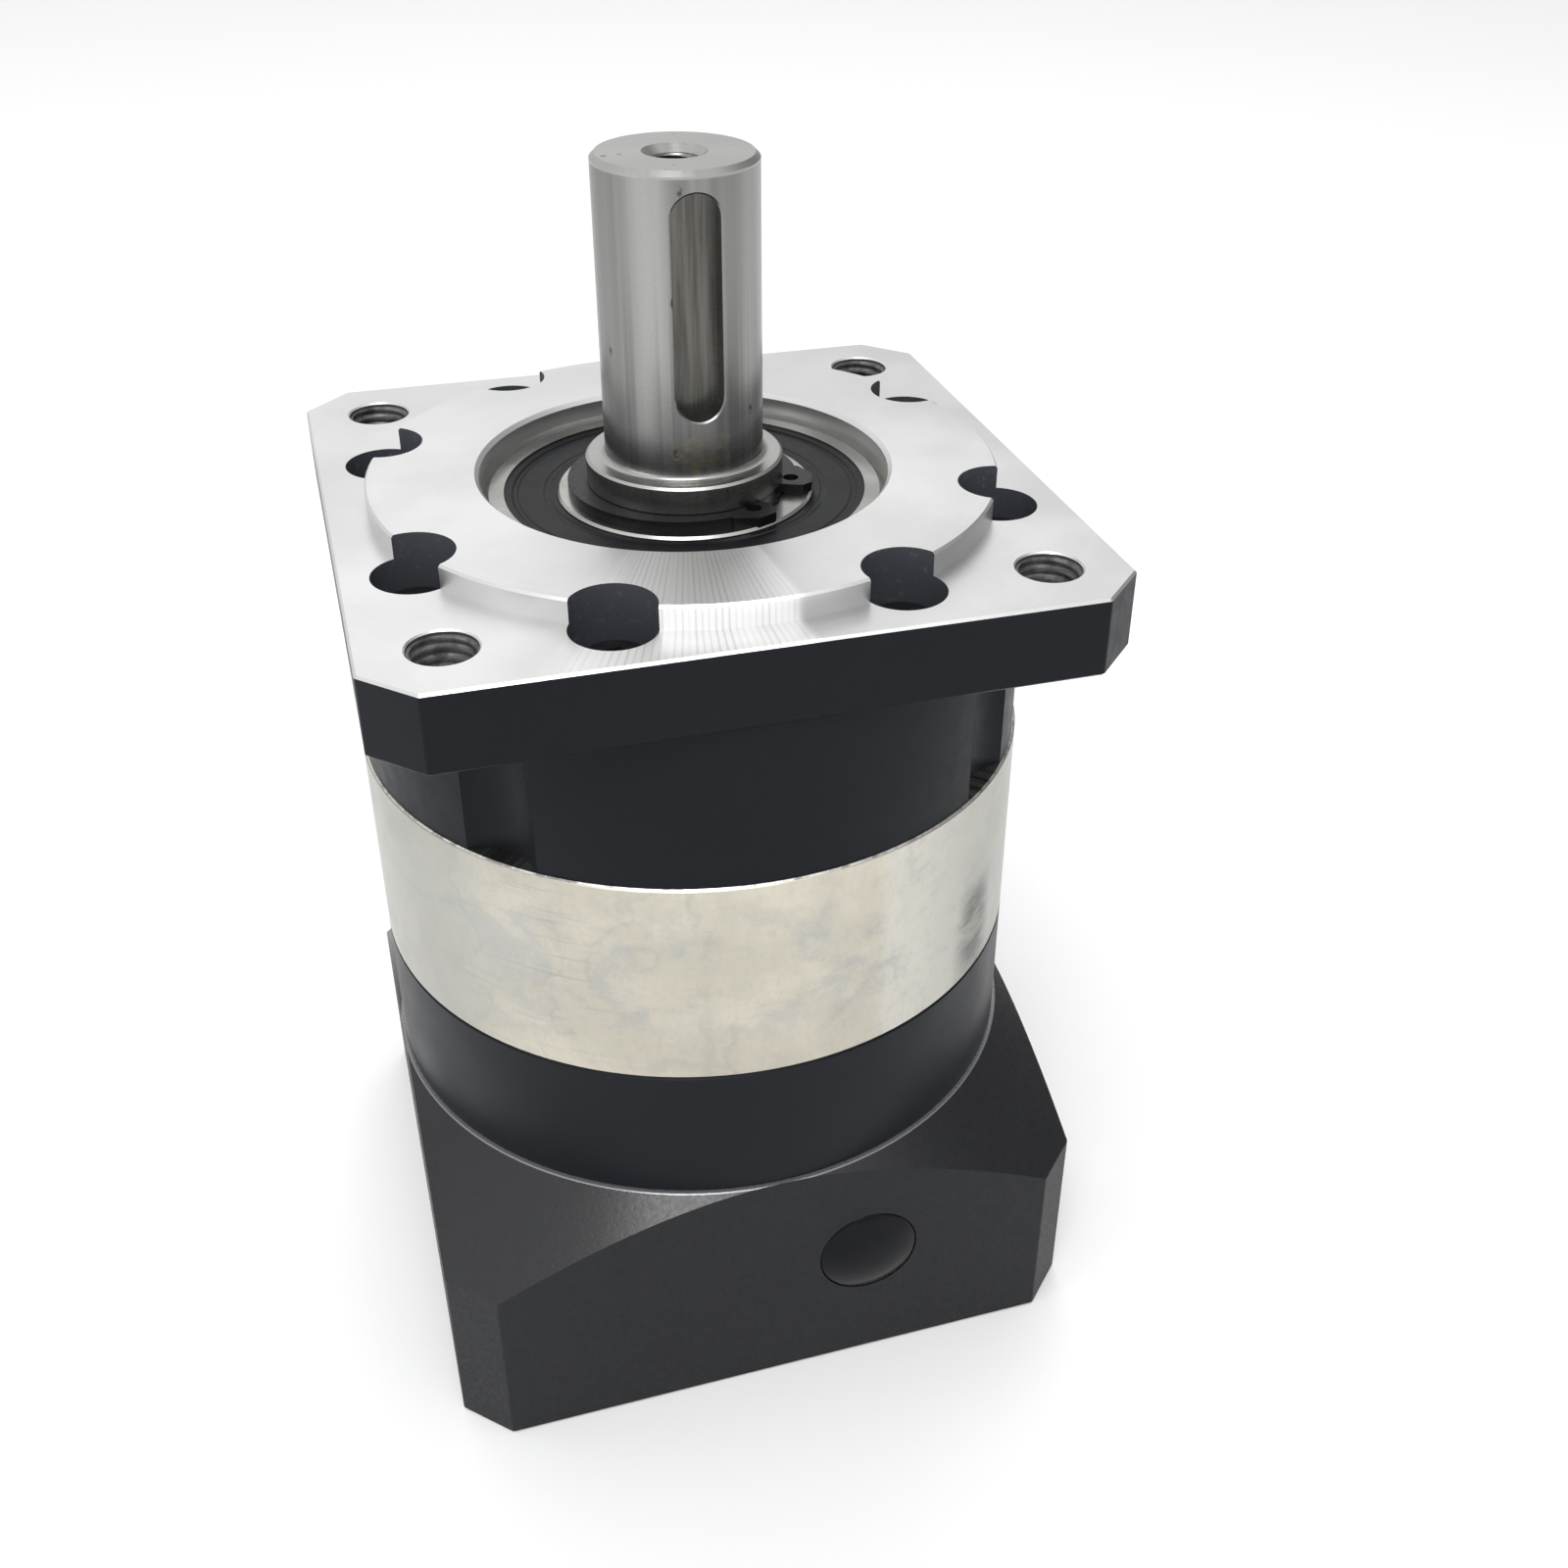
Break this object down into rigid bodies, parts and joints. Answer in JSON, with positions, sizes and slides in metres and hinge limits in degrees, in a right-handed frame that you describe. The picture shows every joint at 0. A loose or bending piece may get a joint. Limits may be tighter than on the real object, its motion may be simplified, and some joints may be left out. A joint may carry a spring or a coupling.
{
  "type": "inline planetary gear reducer",
  "caption": "Planetary gear reducer with a keyed output shaft, a square pilot flange, a round ring gear body and a square motor adapter.",
  "frame": {"origin": "centre of the motor mounting face, on the shaft axis", "axes": "+Z along the output shaft, away from the motor; -Y is the side with the access plug; X and Y are square to the flange sides"},
  "size_m": [0.09, 0.0915, 0.16],
  "materials": {
    "black_anodised_aluminium": "black anodised, satin; the flange face and pilot are bare machined aluminium",
    "blasted_black_aluminium": "bead blasted and black anodised, matt",
    "nickel_plated_steel": "nickel plated, warm grey, slightly mottled",
    "plug_rubber": "smooth black rubber",
    "ground_steel": "ground and turned",
    "gear_steel": "case hardened, ground teeth",
    "clamp_steel": "blackened",
    "seal_rubber": "matt nitrile rubber",
    "bearing_steel": "ground bearing steel",
    "cage_steel": "pressed steel",
    "washer_bronze": "bronze",
    "spring_steel": "blackened spring steel",
    "black_screw_steel": "black oxide"
  },
  "bodies": {
    "housing": {"output_housing": "black_anodised_aluminium", "ring_gear": "nickel_plated_steel", "input_housing": "black_anodised_aluminium", "motor_adapter": "blasted_black_aluminium", "front_oring": "seal_rubber", "rear_oring": "seal_rubber", "front_bearing_outer_ring": "bearing_steel", "front_bearing_seals": "seal_rubber", "rear_bearing_outer_ring": "bearing_steel", "rear_bearing_seals": "seal_rubber", "input_bearing_outer_ring": "bearing_steel", "input_bearing_seals": "seal_rubber", "input_housing_snap_ring": "spring_steel", "output_housing_screws": "black_screw_steel", "input_housing_screws": "black_screw_steel", "adapter_screws": "black_screw_steel"},
    "output": {"output_shaft": "ground_steel", "planet_pin_1": "bearing_steel", "planet_pin_2": "bearing_steel", "planet_pin_3": "bearing_steel", "thrust_washers_1": "washer_bronze", "thrust_washers_2": "washer_bronze", "thrust_washers_3": "washer_bronze", "front_bearing_inner_ring": "bearing_steel", "rear_bearing_inner_ring": "bearing_steel", "output_snap_ring": "spring_steel"},
    "input": {"sun_gear_shaft": "gear_steel", "clamp_ring": "clamp_steel", "clamp_screw": "black_screw_steel", "input_bearing_inner_ring": "bearing_steel", "input_shaft_snap_ring": "spring_steel"},
    "plug": {"access_plug": "plug_rubber"},
    "planet_1": {"planet_gear_1": "gear_steel"},
    "needles_1": {"needle_rollers_1": "bearing_steel"},
    "planet_2": {"planet_gear_2": "gear_steel"},
    "needles_2": {"needle_rollers_2": "bearing_steel"},
    "planet_3": {"planet_gear_3": "gear_steel"},
    "needles_3": {"needle_rollers_3": "bearing_steel"},
    "front_ball_train": {"front_bearing_balls": "bearing_steel", "front_bearing_cage": "cage_steel"},
    "rear_ball_train": {"rear_bearing_balls": "bearing_steel", "rear_bearing_cage": "cage_steel"},
    "input_ball_train": {"input_bearing_balls": "bearing_steel", "input_bearing_cage": "cage_steel"}
  },
  "joints": [
    {"name": "output_spin", "type": "hinge", "parent": "housing", "child": "output", "pos_m": [0, 0, 0.11], "axis": [0, 0, 1], "continuous": true},
    {"name": "input_spin", "type": "hinge", "parent": "housing", "child": "input", "pos_m": [0, 0, 0.05], "axis": [0, 0, 1], "continuous": true},
    {"name": "planet_1_spin", "type": "hinge", "parent": "output", "child": "planet_1", "pos_m": [0, 0.021, 0.0715], "axis": [0, 0, 1], "continuous": true},
    {"name": "needles_1_roll", "type": "hinge", "parent": "output", "child": "needles_1", "pos_m": [0, 0.021, 0.0715], "axis": [0, 0, 1], "continuous": true},
    {"name": "planet_2_spin", "type": "hinge", "parent": "output", "child": "planet_2", "pos_m": [-0.01819, -0.0105, 0.0715], "axis": [0, 0, 1], "continuous": true},
    {"name": "needles_2_roll", "type": "hinge", "parent": "output", "child": "needles_2", "pos_m": [-0.01819, -0.0105, 0.0715], "axis": [0, 0, 1], "continuous": true},
    {"name": "planet_3_spin", "type": "hinge", "parent": "output", "child": "planet_3", "pos_m": [0.01819, -0.0105, 0.0715], "axis": [0, 0, 1], "continuous": true},
    {"name": "needles_3_roll", "type": "hinge", "parent": "output", "child": "needles_3", "pos_m": [0.01819, -0.0105, 0.0715], "axis": [0, 0, 1], "continuous": true},
    {"name": "front_balls_roll", "type": "hinge", "parent": "housing", "child": "front_ball_train", "pos_m": [0, 0, 0.111], "axis": [0, 0, 1], "continuous": true},
    {"name": "rear_balls_roll", "type": "hinge", "parent": "housing", "child": "rear_ball_train", "pos_m": [0, 0, 0.0945], "axis": [0, 0, 1], "continuous": true},
    {"name": "input_balls_roll", "type": "hinge", "parent": "housing", "child": "input_ball_train", "pos_m": [0, 0, 0.0505], "axis": [0, 0, 1], "continuous": true},
    {"name": "plug_pull", "type": "slide", "parent": "housing", "child": "plug", "axis": [0, -1, 0], "range_m": [0, 0.012]}
  ],
  "couplings": [
    {"joint": "input_spin", "follows": "output_spin", "ratio": 4},
    {"joint": "planet_1_spin", "follows": "output_spin", "ratio": -3},
    {"joint": "needles_1_roll", "follows": "output_spin", "ratio": -1.7727},
    {"joint": "planet_2_spin", "follows": "output_spin", "ratio": -3},
    {"joint": "needles_2_roll", "follows": "output_spin", "ratio": -1.7727},
    {"joint": "planet_3_spin", "follows": "output_spin", "ratio": -3},
    {"joint": "needles_3_roll", "follows": "output_spin", "ratio": -1.7727},
    {"joint": "front_balls_roll", "follows": "output_spin", "ratio": 0.39688},
    {"joint": "rear_balls_roll", "follows": "output_spin", "ratio": 0.41814},
    {"joint": "input_balls_roll", "follows": "output_spin", "ratio": 1.7527}
  ]
}
